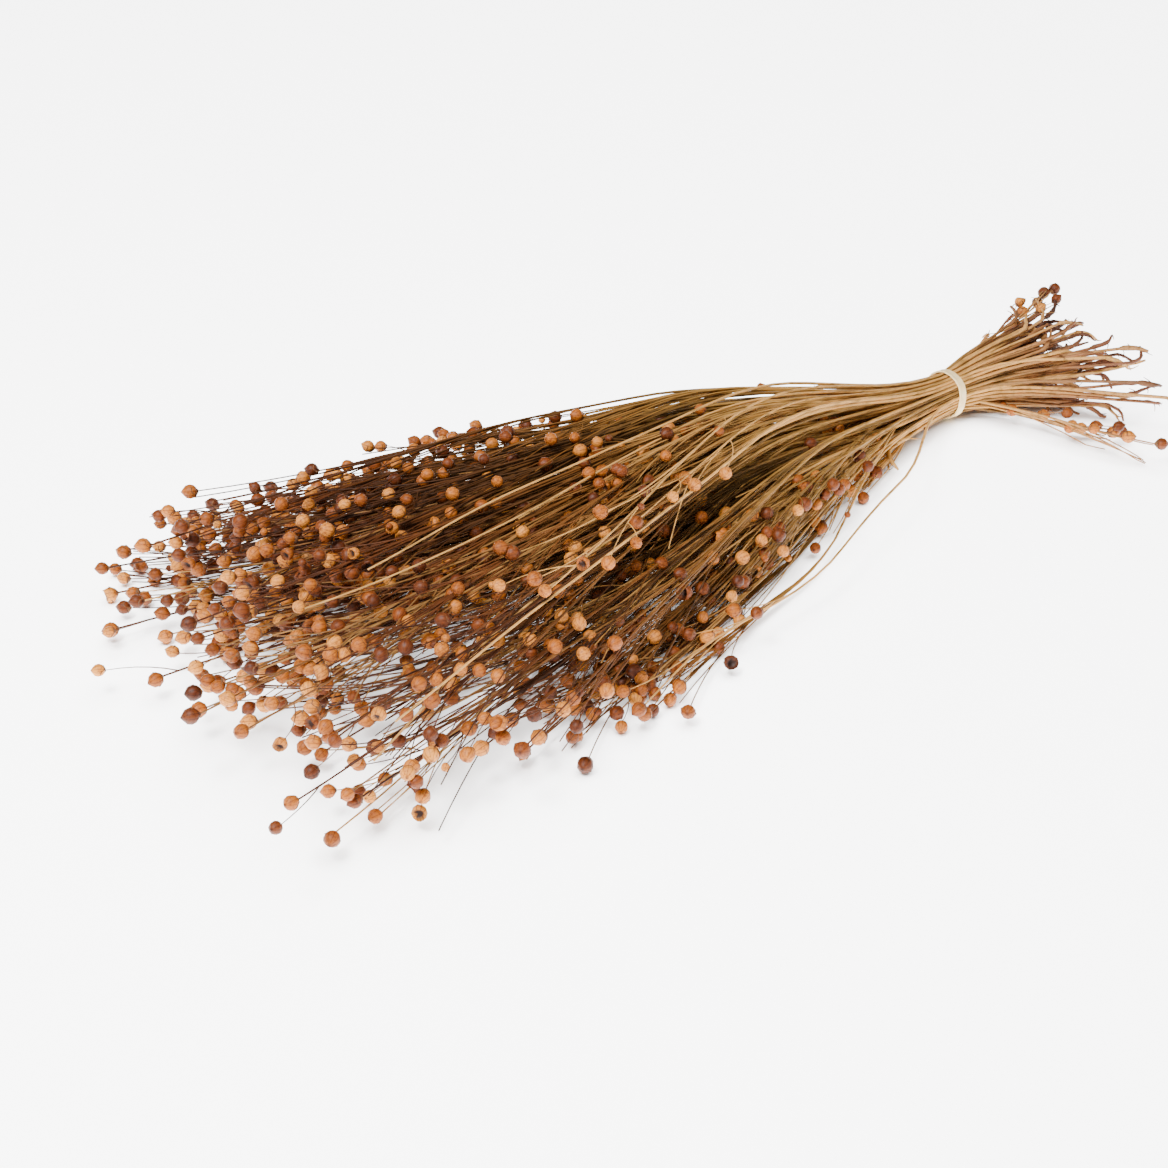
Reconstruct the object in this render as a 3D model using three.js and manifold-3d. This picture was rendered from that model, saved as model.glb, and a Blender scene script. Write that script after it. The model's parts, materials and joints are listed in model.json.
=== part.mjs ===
// A bundle of dried flax lying on a table: cut stalks with round seed bolls, held by one elastic band.
// Units are millimetres. +X runs from the seed heads to the root ends, and +Z is up.
// The origin is on the table, under the middle of the bundle.
import * as THREE from "three";
import { mergeVertices } from "three/addons/utils/BufferGeometryUtils.js";
import Module from "manifold-3d";

// Lengths along the bundle, from the middle of the band.
const HEAD_LENGTH = 540; // to the tip of the longest stalk
const ROOT_LENGTH = 102; // to the end of the longest taproot
// The spread of the seed heads, and of the root ends.
const HEAD_WIDTH = 280;
const HEAD_HEIGHT = 66;
const ROOT_WIDTH = 96;
const ROOT_HEIGHT = 60;
const ROOT_ASIDE = 26; // how far the root ends lie to one side of the bundle's line
// One stalk.
const STEM_DIAMETER = 2.0; // at the band
const TIP_DIAMETER = 1.0; // under the top boll
const TAPROOT_DIAMETER = 0.8;
const TAPROOT_LENGTH = 30;
const BRANCH_DIAMETER = 0.8;
const BOLL_DIAMETER = 7.2;
const BOLL_POINT = 0.9; // how far the dried beak stands out of the boll
// The elastic band.
const BAND_WIDTH = 5.4;
const BAND_THICKNESS = 1.5;
const BAND_LEAN = 5; // degrees that it leans towards the roots at the top
// Room between pieces.
const STEM_CLEARANCE = 0.06; // between neighbours in the full bundle
const BAND_CLEARANCE = 0.3;
const TABLE_CLEARANCE = 0.05;

// The full bundle packs its stems in a triangular pattern. The stalks here stand on every third place of it,
// which is again a triangular pattern, and the places between them are left free.
const STALK_COUNT = 55;
const FULL_PITCH = STEM_DIAMETER + STEM_CLEARANCE;
const PITCH = Math.sqrt(3) * FULL_PITCH;
const STEM_SIDES = 5;
const BRANCH_SIDES = 3;
const BOLL_SIDES = 5;
// Where every stem has a ring of its own near the band, along the bundle.
const NECK_RINGS = [-40, -BAND_WIDTH, BAND_WIDTH, 26, 80];
const HEAD_RINGS = 4; // from there to the tip
const FINEST_DETAIL = 0.05; // smaller edges, left where a branch joins its stem, are merged

const WIDEST_AT = 0.68; // share of the head length at which the heads are widest
const LONGEST_AT = 0; // how far out from the middle the longest stalks are, as a share of half the width
const EDGE_SHORTER = 0.3; // how much shorter the stalks one half-width further out are
const RISE_LENGTH = 210; // over which the heads open upwards
const SETTLE_START = 45; // where the opened bundle begins to settle flat on the table
const SETTLE_LENGTH = 200;
const SETTLED_SHAPE = 0.6; // how far the edges come down to the table: 0 stays round below
const TWIST = 0.4; // radians that the bundle turns between band and heads

const { smoothstep, clamp, lerp } = THREE.MathUtils;
const UP = new THREE.Vector3(0, 0, 1);
const stemRadius = STEM_DIAMETER / 2;
const bollRadius = BOLL_DIAMETER / 2;

// A repeatable stream of numbers between 0 and 1.
function stream(seed) {
  let state = seed * 7919 + 104729;
  const next = () => (state = (state * 1664525 + 1013904223) % 4294967296) / 4294967296;
  next();
  next();
  return next;
}

// The places nearest the axis of a triangular pattern, nearest first.
function packedPlaces(count, pitch) {
  const places = [];
  const reach = Math.ceil(Math.sqrt(count));
  for (let row = -reach; row <= reach; row++) {
    for (let column = -reach; column <= reach; column++) {
      const y = (column + row / 2) * pitch;
      const z = row * pitch * Math.sqrt(0.75);
      places.push({ y, z, ring: Math.round(Math.hypot(y, z) * 1e4), turn: Math.atan2(z, y) });
    }
  }
  places.sort((a, b) => a.ring - b.ring || a.turn - b.turn);
  return places.slice(0, count);
}

const places = packedPlaces(STALK_COUNT, PITCH);
const neckRadius = Math.hypot(places.at(-1).y, places.at(-1).z); // to the centres of the outer stems

// Half the width and half the height of the bundle, to the centres of its outer stems, at t along it.
// t is 0 at the band, positive towards the heads and negative towards the roots.
function halfWidth(t) {
  if (t > 0) return Math.hypot(neckRadius, (HEAD_WIDTH / 2 / (WIDEST_AT * HEAD_LENGTH)) * t);
  return lerp(neckRadius, ROOT_WIDTH / 2, pastBand(t));
}

function halfHeight(t) {
  if (t > 0) return lerp(neckRadius, HEAD_HEIGHT / 2, smoothstep(t, 0, RISE_LENGTH));
  return lerp(neckRadius, ROOT_HEIGHT / 2, pastBand(t));
}

// How far t is from the band's edge to the root ends: 0 to 1.
function pastBand(t) {
  return Math.max(0, -t - BAND_WIDTH) / (ROOT_LENGTH - BAND_WIDTH);
}

// How high the lowest stems' centres lie: on their bolls at the heads, on the band, and on the table at the
// roots.
function restHeight(t) {
  const atBand = stemRadius + BAND_CLEARANCE + BAND_THICKNESS;
  const far = t > 0 ? bollRadius : stemRadius;
  return TABLE_CLEARANCE + lerp(atBand, far, smoothstep(Math.abs(t), 10, 90));
}

// Carries a place across the bundle (a sideways and b upwards, both 1 at the outer stems) to a point at t
// along it.
// Past the band the round bundle opens, turns a little and settles: its underside goes flat on the table.
function inBundle(a, b, t) {
  const turn = TWIST * smoothstep(t, 0, HEAD_LENGTH);
  const side = a * Math.cos(turn) - b * Math.sin(turn);
  const up = a * Math.sin(turn) + b * Math.cos(turn);
  const settled = smoothstep(t, SETTLE_START, SETTLE_START + SETTLE_LENGTH);
  const sag = settled * SETTLED_SHAPE * side * side;
  const height = Math.max(0, up + 1 - sag) * halfHeight(t);
  const aside = ROOT_ASIDE * smoothstep(-t, 0, ROOT_LENGTH);
  return new THREE.Vector3(-t, side * halfWidth(t) - aside, restHeight(t) + height);
}

// Stalks that don't lie with the rest, each by its number in the order of places: how far they drift to the
// side and lift on the way from the band to their heads, and how far they bow out beside the band.
const STRAIGHT = { aside: 0, lift: 0, bow: 0 };
const LOOSE = new Map([
  [41, { aside: -52, lift: 3, bow: 0 }],
  [51, { aside: -96, lift: 8, bow: 0 }],
  [54, { aside: 0, lift: 0, bow: -30 }],
]);
// Stalks laid in the other way round, with their heads beside the roots, and how far from the band.
const TURNED_ROUND = new Map([
  [37, { tip: 48, aside: -54, lift: -4, bow: 0 }],
  [43, { tip: 54, aside: -76, lift: -10, bow: 0 }],
  [44, { tip: 60, aside: -48, lift: 2, bow: 0 }],
  [50, { tip: 100, aside: 2, lift: 5, bow: 0 }],
]);

// Everything that sets one stalk's shape.
function stalkPlan(number) {
  const random = stream(number);
  const a = places[number].y / neckRadius;
  const b = places[number].z / neckRadius;
  const turnedRound = TURNED_ROUND.has(number);
  const loose = TURNED_ROUND.get(number) ?? LOOSE.get(number) ?? STRAIGHT;
  const short = random() < 0.24 ? 0.25 + 0.25 * random() : 0.2 * random();
  const way = turnedRound ? -1 : 1;
  const tip = loose.tip ?? HEAD_LENGTH * (1 - EDGE_SHORTER * (a - LONGEST_AT) ** 2) * (1 - short);
  const root = ROOT_LENGTH * (1 - 0.35 * random());
  const wave = { size: 0.05 * random(), start: 2 * Math.PI * random() };
  const crook = { side: 5 * (random() - 0.5), up: 4 * random() };
  const reach = turnedRound ? 12 : 34;
  const branches = [];
  const count = 3 + Math.floor(2 * random());
  for (let i = 1; i < count; i++) {
    const length = reach * (1 + random());
    branches.push({
      from: tip - 0.7 * reach - 0.9 * reach * i - 10 * random(),
      length,
      a: (i % 2 ? 1 : -1) * (0.05 + 0.06 * random()),
      b: 0.03 * (random() - 0.5),
    });
  }
  return { a, b, way, tip, root, loose, wave, crook, branches };
}

// A point on or beside a stalk, s along it from the band towards its own heads. da and db are steps beside
// it.
function onStalk(plan, s, da = 0, db = 0) {
  const t = plan.way * s;
  const sway = plan.wave.size * smoothstep(s, 60, 260) * Math.sin(plan.wave.start + s / 75);
  const point = inBundle(plan.a + sway + da, plan.b + db, t);
  const out = smoothstep(s, 10, plan.way > 0 ? 0.82 * HEAD_LENGTH : plan.tip);
  const back = smoothstep(s, 0.35 * HEAD_LENGTH, 0.58 * HEAD_LENGTH);
  const bowed = smoothstep(s, 10, 0.22 * HEAD_LENGTH) * (1 - back);
  const bent = plan.way > 0 ? smoothstep(-s, plan.root - TAPROOT_LENGTH, plan.root) : 0;
  point.y += plan.loose.aside * out + plan.loose.bow * bowed + plan.crook.side * bent;
  point.z += plan.loose.lift * smoothstep(s, 10, 150) + plan.crook.up * bent;
  point.z = Math.max(point.z, restHeight(t));
  return point;
}

// A closed tube along points: a cylinder laid along them, with a radius for each.
function tubeAlong(points, radii, sides) {
  const steps = points.length - 1;
  const tube = new THREE.CylinderGeometry(1, 1, 1, sides, steps);
  const at = tube.attributes.position;
  for (let i = 0; i < at.count; i++) {
    const step = Math.round((at.getY(i) + 0.5) * steps);
    const along = directionAt(points, step);
    const across = new THREE.Vector3().crossVectors(along, UP).normalize();
    const over = new THREE.Vector3().crossVectors(across, along);
    const point = points[step]
      .clone()
      .addScaledVector(across, at.getX(i) * radii[step])
      .addScaledVector(over, at.getZ(i) * radii[step]);
    at.setXYZ(i, point.x, point.y, point.z);
  }
  return tube;
}

function directionAt(points, step) {
  const from = points[Math.max(step - 1, 0)];
  const to = points[Math.min(step + 1, points.length - 1)];
  return new THREE.Vector3().subVectors(to, from).normalize();
}

// The seed boll at the last of some points: a round capsule with a short beak, its foot on that point.
function bollAtEnd(points) {
  const r = bollRadius;
  const direction = directionAt(points, points.length - 1);
  const outline = [[0, -r], [0.95 * r, -0.35 * r], [0.75 * r, 0.6 * r], [0, r + BOLL_POINT]];
  const capsule = new THREE.LatheGeometry(outline.map(([x, y]) => new THREE.Vector2(x, y)), BOLL_SIDES);
  const turn = new THREE.Quaternion().setFromUnitVectors(new THREE.Vector3(0, 1, 0), direction);
  const centre = points.at(-1).clone().addScaledVector(direction, 0.9 * r);
  return capsule.applyQuaternion(turn).translate(centre.x, centre.y, centre.z);
}

const wasm = await Module();
wasm.setup();

// A closed geometry as a solid.
function solidOf(geometry) {
  const bare = geometry.clone();
  bare.deleteAttribute("normal");
  bare.deleteAttribute("uv");
  const merged = mergeVertices(bare, 1e-4);
  return new wasm.Manifold(new wasm.Mesh({
    numProp: 3,
    vertProperties: new Float32Array(merged.attributes.position.array),
    triVerts: new Uint32Array(merged.index.array),
  }));
}

// Several closed geometries that meet, as the geometry of one piece.
function grownTogether(geometries) {
  const whole = geometries.map(solidOf).reduce((joined, next) => joined.add(next));
  const { vertProperties, triVerts } = whole.asOriginal().simplify(FINEST_DETAIL).getMesh();
  return new THREE.BufferGeometry()
    .setAttribute("position", new THREE.BufferAttribute(vertProperties, 3))
    .setIndex(new THREE.BufferAttribute(triVerts, 1));
}

// The places of a stem's rings along it, from its root to its tip.
function ringPlaces(plan) {
  const soil = -plan.root + TAPROOT_LENGTH;
  const neck = NECK_RINGS.map((t) => plan.way * t)
    .sort((a, b) => a - b)
    .filter((s) => s > soil + 4 && s < plan.tip - 20);
  const last = neck.at(-1);
  const rest = Array.from({ length: HEAD_RINGS }, (_, i) => lerp(last, plan.tip, (i + 1) / HEAD_RINGS));
  return [-plan.root, -plan.root + TAPROOT_LENGTH / 2, soil, ...neck, ...rest];
}

// The point s along a stem, on the straight run between two of its rings.
function between(stem, rings, s) {
  const next = rings.findIndex((place) => place > s);
  const share = (s - rings[next - 1]) / (rings[next] - rings[next - 1]);
  return stem[next - 1].clone().lerp(stem[next], share);
}

function stemRadiusAt(plan, s) {
  const soil = -plan.root + TAPROOT_LENGTH;
  if (s < soil) return lerp(TAPROOT_DIAMETER, STEM_DIAMETER, (s + plan.root) / TAPROOT_LENGTH) / 2;
  return lerp(STEM_DIAMETER, TIP_DIAMETER, Math.max(s, 0) / plan.tip) / 2;
}

// A whole stalk: taproot, stem and top boll, with the branches and their bolls.
function stalkGeometry(plan) {
  const rings = ringPlaces(plan);
  const stem = rings.map((s) => onStalk(plan, s));
  const radii = rings.map((s) => stemRadiusAt(plan, s));
  const pieces = [tubeAlong(stem, radii, STEM_SIDES), bollAtEnd(stem)];
  for (const branch of plan.branches) {
    const line = [0.5, 1].map((share) => {
      const bend = share * share;
      return onStalk(plan, branch.from + branch.length * share, branch.a * bend, branch.b * bend);
    });
    line.unshift(between(stem, rings, branch.from));
    pieces.push(tubeAlong(line, line.map(() => BRANCH_DIAMETER / 2), BRANCH_SIDES), bollAtEnd(line));
  }
  return grownTogether(pieces);
}

// The elastic band: a flat ring with eased edges, round all the stems.
function bandGeometry() {
  const inner = halfWidth(BAND_WIDTH) + stemRadius + BAND_CLEARANCE;
  const outer = inner + BAND_THICKNESS;
  const half = BAND_WIDTH / 2;
  const ease = BAND_THICKNESS / 4;
  const outline = [
    [inner, -half], [outer - ease, -half], [outer, -half + ease],
    [outer, half - ease], [outer - ease, half], [inner, half], [inner, -half],
  ].map(([x, y]) => new THREE.Vector2(x, y));
  return new THREE.LatheGeometry(outline, 28).rotateZ(Math.PI / 2);
}

const stalkColours = [0xa9803f, 0x96733a, 0xb38a4c, 0x8c6a34];

function namedMesh(name, geometry, colour, roughness) {
  const mesh = new THREE.Mesh(
    geometry,
    new THREE.MeshStandardMaterial({ color: colour, roughness, metalness: 0 }),
  );
  mesh.name = name;
  return mesh;
}

const bundle = new THREE.Group();

for (let number = 0; number < STALK_COUNT; number++) {
  const name = "flax_stalk_" + String(number + 1).padStart(2, "0");
  const colour = stalkColours[number % stalkColours.length];
  bundle.add(namedMesh(name, stalkGeometry(stalkPlan(number)), colour, 0.75));
}

const band = namedMesh("elastic_band", bandGeometry(), 0xe9dcc0, 0.85);
band.position.z = restHeight(0) + neckRadius;
band.rotation.y = THREE.MathUtils.degToRad(BAND_LEAN);
bundle.add(band);

// The origin goes under the middle of the whole, on the table.
bundle.updateMatrixWorld(true);
const extent = new THREE.Box3().setFromObject(bundle, true);
const middle = extent.getCenter(new THREE.Vector3());
bundle.position.set(-middle.x, -middle.y, -extent.min.z);

export default bundle;
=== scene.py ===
"""A bundle of dried flax on a pale table: straw stalks with round seed bolls, held by one rubber band.

Laid out as an add-on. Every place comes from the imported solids: all is measured from the middle of the band,
towards the heads along -X and towards the roots along +X.
"""
import json
import math

import bpy
from bpy.props import FloatProperty, FloatVectorProperty, IntProperty, PointerProperty
from mathutils import Matrix, Vector

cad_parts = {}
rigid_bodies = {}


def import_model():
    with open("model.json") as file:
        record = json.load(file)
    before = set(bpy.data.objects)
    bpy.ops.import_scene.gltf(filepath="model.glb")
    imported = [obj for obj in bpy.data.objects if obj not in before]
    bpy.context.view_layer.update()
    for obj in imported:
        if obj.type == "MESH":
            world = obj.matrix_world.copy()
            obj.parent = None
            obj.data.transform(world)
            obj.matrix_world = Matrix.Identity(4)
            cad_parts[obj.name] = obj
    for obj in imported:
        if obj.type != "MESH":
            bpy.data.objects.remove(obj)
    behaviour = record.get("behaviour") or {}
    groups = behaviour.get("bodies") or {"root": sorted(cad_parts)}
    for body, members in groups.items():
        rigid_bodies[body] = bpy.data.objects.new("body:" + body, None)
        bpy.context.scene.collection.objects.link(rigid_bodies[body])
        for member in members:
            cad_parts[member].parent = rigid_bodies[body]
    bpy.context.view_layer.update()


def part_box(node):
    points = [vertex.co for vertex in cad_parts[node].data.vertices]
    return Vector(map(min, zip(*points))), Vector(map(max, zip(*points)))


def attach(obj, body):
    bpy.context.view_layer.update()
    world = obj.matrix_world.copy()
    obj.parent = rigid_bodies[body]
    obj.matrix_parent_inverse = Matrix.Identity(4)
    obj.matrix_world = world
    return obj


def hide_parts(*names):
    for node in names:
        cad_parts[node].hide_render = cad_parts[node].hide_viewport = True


bl_info = {
    "name": "Dried flax bundle",
    "version": (1, 0, 0),
    "blender": (4, 5, 0),
    "location": "View3D > Sidebar > Flax",
    "description": "Lays a bundle of dried flax stalks with their seed bolls and the band that holds them",
    "category": "Add Mesh",
}

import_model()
BAND_LOW, BAND_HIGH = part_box("elastic_band")

MM = 0.001
UP = Vector((0, 0, 1))
STALK_COUNT = 55

# Where the streams of random numbers start: for a stalk's looks, and for the stalks between the solid ones.
LOOKS_SEED = 5000
BETWEEN_SEED = 300
BETWEEN_PLACE_SEED = 900

# Shares and shape numbers that the solids also have.
WIDEST_AT = 0.68
LONGEST_AT = 0.0
EDGE_SHORTER = 0.3
RISE_LENGTH = 210
SETTLE_START = 45
SETTLE_LENGTH = 200
SETTLED_SHAPE = 0.6
TWIST = 0.4

# How far from the middle the tips of the stalks between may lie, and where all that strays further is drawn
# in.
WIDEST_TIP = 122
STRAY_FROM = 144
STRAY_ROOM = 18

# How stalks that don't lie with the rest stray, in millimetres: aside, lift and bow, and the tip of one that
# is turned round.
STRAIGHT = {"aside": 0, "lift": 0, "bow": 0}
LOOSE = {
    41: {"aside": -52, "lift": 3, "bow": 0},
    51: {"aside": -96, "lift": 8, "bow": 0},
    54: {"aside": 0, "lift": 0, "bow": -30},
}
TURNED_ROUND = {
    37: {"tip": 48, "aside": -54, "lift": -4, "bow": 0},
    43: {"tip": 54, "aside": -76, "lift": -10, "bow": 0},
    44: {"tip": 60, "aside": -48, "lift": 2, "bow": 0},
    50: {"tip": 100, "aside": 2, "lift": 5, "bow": 0},
}


# ---------------------------------------------------------------- numbers and colours


def smoothstep(x, low, high):
    """0 up to low, 1 from high on, and a smooth rise between them."""
    share = min(max((x - low) / (high - low), 0.0), 1.0)
    return share * share * (3 - 2 * share)


def lerp(a, b, share):
    return a + (b - a) * share


def stream(seed):
    """A repeatable stream of numbers between 0 and 1, the same as the solids draw from."""
    state = seed * 7919 + 104729

    def draw():
        nonlocal state
        state = (state * 1664525 + 1013904223) % 4294967296
        return state / 4294967296

    draw()
    draw()
    return draw


def linear(colour):
    """An sRGB hex colour as linear numbers."""
    parts = [int(colour[i:i + 2], 16) / 255 for i in (1, 3, 5)]
    return tuple(p / 12.92 if p <= 0.04045 else ((p + 0.055) / 1.055) ** 2.4 for p in parts) + (1.0,)


# ---------------------------------------------------------------- where everything lies


def grid(reach, pitch):
    """The places of a triangular pattern round the middle."""
    for row in range(-reach, reach + 1):
        for column in range(-reach, reach + 1):
            yield (column + row / 2) * pitch, row * pitch * math.sqrt(0.75)


class Bundle:
    """The bundle's own measure: millimetres from the middle of the band, t along it towards the heads."""

    def __init__(self, sizes):
        for name in ("head_length", "root_length", "head_width", "head_height", "root_width", "root_height",
                     "root_aside", "stem_diameter", "tip_diameter", "taproot_diameter", "taproot_length",
                     "boll_diameter", "branch_diameter", "band_thickness", "band_width"):
            setattr(self, name, getattr(sizes, name) / MM)
        self.pitch = math.sqrt(3) * (self.stem_diameter + 0.06)
        reach = math.ceil(math.sqrt(STALK_COUNT))
        places = sorted(grid(reach, self.pitch),
                        key=lambda p: (round(math.hypot(*p) * 1e4), math.atan2(p[1], p[0])))
        self.places = places[:STALK_COUNT]
        self.neck = math.hypot(*self.places[-1])
        step = self.pitch * math.sqrt(3) / 6
        between = [
            (y + self.pitch / 2, z + side * step)
            for y, z in grid(reach, self.pitch)
            for side in (1, -1)
        ]
        self.between = [p for p in between if math.hypot(*p) <= self.neck * 1.01]
        middle = (BAND_LOW[2] + BAND_HIGH[2]) / 2 / MM
        self.origin = Vector((
            (BAND_LOW[0] + BAND_HIGH[0]) / 2 / MM,
            (BAND_LOW[1] + BAND_HIGH[1]) / 2 / MM,
            middle - self.rest_height(0) - self.neck,
        ))

    def half_width(self, t):
        if t > 0:
            return math.hypot(self.neck, self.head_width / 2 / (WIDEST_AT * self.head_length) * t)
        return lerp(self.neck, self.root_width / 2, self.past_band(t))

    def half_height(self, t):
        if t > 0:
            return lerp(self.neck, self.head_height / 2, smoothstep(t, 0, RISE_LENGTH))
        return lerp(self.neck, self.root_height / 2, self.past_band(t))

    def past_band(self, t):
        return max(0.0, -t - self.band_width) / (self.root_length - self.band_width)

    def rest_height(self, t):
        at_band = self.stem_diameter / 2 + 0.3 + self.band_thickness
        far = self.boll_diameter / 2 if t > 0 else self.stem_diameter / 2
        return 0.05 + lerp(at_band, far, smoothstep(abs(t), 10, 90))

    def inside(self, a, b, t):
        turn = TWIST * smoothstep(t, 0, self.head_length)
        side = a * math.cos(turn) - b * math.sin(turn)
        up = a * math.sin(turn) + b * math.cos(turn)
        sag = smoothstep(t, SETTLE_START, SETTLE_START + SETTLE_LENGTH) * SETTLED_SHAPE * side * side
        height = max(0.0, up + 1 - sag) * self.half_height(t)
        aside = self.root_aside * smoothstep(-t, 0, self.root_length)
        return Vector((-t, side * self.half_width(t) - aside, self.rest_height(t) + height))

    def plan(self, seed, place, loose, way=1):
        """Everything that sets one stalk's shape, drawn in the same order as for the solids."""
        draw = stream(seed)
        a, b = place[0] / self.neck, place[1] / self.neck
        short = 0.25 + 0.25 * draw() if draw() < 0.24 else 0.2 * draw()
        tip = self.head_length * (1 - EDGE_SHORTER * (a - LONGEST_AT) ** 2) * (1 - short)
        tip = loose.get("tip", tip)
        root = self.root_length * (1 - 0.35 * draw())
        wave = (0.05 * draw(), 2 * math.pi * draw())
        crook = (5 * (draw() - 0.5), 4 * draw())
        reach = 34 if way > 0 else 12
        branches = []
        for i in range(1, 3 + math.floor(2 * draw())):
            length = reach * (1 + draw())
            start = tip - 0.7 * reach - 0.9 * reach * i - 10 * draw()
            aside = (1 if i % 2 else -1) * (0.05 + 0.06 * draw())
            branches.append((start, length, aside, 0.03 * (draw() - 0.5)))
        return {"a": a, "b": b, "way": way, "tip": tip, "root": root, "loose": loose, "wave": wave,
                "crook": crook, "branches": branches}

    def on_stalk(self, plan, s, da=0.0, db=0.0):
        """A point on or beside a stalk, s along it from the band towards its own heads."""
        t = plan["way"] * s
        loose = plan["loose"]
        size, start = plan["wave"]
        sway = size * smoothstep(s, 60, 260) * math.sin(start + s / 75)
        point = self.inside(plan["a"] + sway + da, plan["b"] + db, t)
        reach = 0.82 * self.head_length if plan["way"] > 0 else plan["tip"]
        bowed = smoothstep(s, 10, 0.22 * self.head_length)
        bowed *= 1 - smoothstep(s, 0.35 * self.head_length, 0.58 * self.head_length)
        bent = smoothstep(-s, plan["root"] - self.taproot_length, plan["root"]) if plan["way"] > 0 else 0
        point.y += loose["aside"] * smoothstep(s, 10, reach) + loose["bow"] * bowed + plan["crook"][0] * bent
        point.z += loose["lift"] * smoothstep(s, 10, 150) + plan["crook"][1] * bent
        point.z = max(point.z, self.rest_height(t))
        return point

    def to_frame(self, point):
        over = abs(point.y) - STRAY_FROM
        if over > 0:
            point = point.copy()
            point.y = math.copysign(STRAY_FROM + STRAY_ROOM * math.tanh(over / STRAY_ROOM), point.y)
        return (point + self.origin) * MM


# ---------------------------------------------------------------- nodes


def add(tree, kind, inputs=None, stops=None, **settings):
    """Adds one shader node with its settings, its values and its links."""
    node = tree.nodes.new("ShaderNode" + kind)
    for name, value in settings.items():
        setattr(node, name, value)
    for name, value in (inputs or {}).items():
        if isinstance(value, bpy.types.NodeSocket):
            tree.links.new(value, node.inputs[name])
        else:
            node.inputs[name].default_value = value
    if stops:
        elements = node.color_ramp.elements
        while len(elements) < len(stops):
            elements.new(1.0)
        for element, (place, colour) in zip(elements, stops):
            element.position = place
            element.color = linear(colour) if isinstance(colour, str) else (colour, colour, colour, 1.0)
    return node


def new_material(name, colour):
    """A material with a bare shader, and the shader itself."""
    material = bpy.data.materials.new(name)
    material.use_nodes = True
    material.diffuse_color = linear(colour)
    tree = material.node_tree
    tree.nodes.clear()
    shader = add(tree, "BsdfPrincipled")
    add(tree, "OutputMaterial", {"Surface": shader.outputs["BSDF"]})
    return material, tree, shader


def straw_material(bundle):
    """Dry bast straw: a thin waxy skin over long fibres, so it is streaked and shines a little."""
    material, tree, shader = new_material("dry_flax_straw", "#A07B45")
    place = add(tree, "TexCoord").outputs["Object"]
    along = add(tree, "SeparateXYZ", {"Vector": place}).outputs["X"]
    share = add(tree, "MapRange", {
        "Value": along,
        "From Min": (bundle.origin.x - bundle.head_length) * MM,
        "From Max": (bundle.origin.x + bundle.root_length) * MM,
    }).outputs["Result"]
    ageing = add(tree, "ValToRGB", {"Fac": share}, stops=[
        (0.00, "#50260C"), (0.22, "#663612"), (0.42, "#80521F"), (0.58, "#B28440"),
        (0.70, "#D8A254"), (0.85, "#D8A258"), (0.93, "#B67C4C"), (0.97, "#88553C"), (1.00, "#6A4034"),
    ]).outputs["Color"]
    tone = add(tree, "Attribute", attribute_name="tone").outputs["Fac"]
    pale = add(tree, "ValToRGB", {"Fac": tone}, stops=[(0.0, 0.0), (0.72, 0.0), (1.0, 0.85)]).outputs["Color"]
    bleached = add(tree, "Mix", {"Factor": pale, "A": ageing, "B": linear("#D9A45E")}, data_type="RGBA")
    # Fibres run along the stalk: 0.4 mm across and 30 mm long.
    stretched = add(tree, "Mapping", {"Vector": place, "Scale": (33.0, 2400.0, 2400.0)}).outputs["Vector"]
    fibre = add(tree, "TexNoise", {"Vector": stretched, "Scale": 1.0, "Detail": 3.0}).outputs["Fac"]
    # Patches of olive and of dark weathering, about 25 mm long.
    patchy = add(tree, "Mapping", {"Vector": place, "Scale": (40.0, 260.0, 260.0)}).outputs["Vector"]
    patch = add(tree, "TexNoise", {"Vector": patchy, "Scale": 1.0, "Detail": 2.0}).outputs["Fac"]
    weather = add(tree, "ValToRGB", {"Fac": patch}, stops=[
        (0.30, "#A39A62"), (0.5, "#FFFFFF"), (0.75, "#FFE9CC"),
    ])
    depth = add(tree, "ValToRGB", {"Fac": tone}, stops=[
        (0.0, 0.36), (0.5, 0.76), (1.0, 1.0),
    ]).outputs["Color"]
    streak = add(tree, "ValToRGB", {"Fac": fibre}, stops=[(0.3, 0.55), (0.6, 1.0)]).outputs["Color"]
    colour = bleached.outputs["Result"]
    for layer, strength in ((weather.outputs["Color"], 0.75), (depth, 1.0), (streak, 0.8)):
        colour = add(tree, "Mix", {"Factor": strength, "A": colour, "B": layer},
                     data_type="RGBA", blend_type="MULTIPLY").outputs["Result"]
    rough = add(tree, "MapRange", {"Value": fibre, "To Min": 0.42, "To Max": 0.72}).outputs["Result"]
    bump = add(tree, "Bump", {"Height": fibre, "Strength": 0.35, "Distance": 0.0002}).outputs["Normal"]
    for socket, value in (("Base Color", colour), ("Roughness", rough), ("Normal", bump)):
        tree.links.new(value, shader.inputs[socket])
    shader.inputs["Specular IOR Level"].default_value = 0.25
    return material


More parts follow.
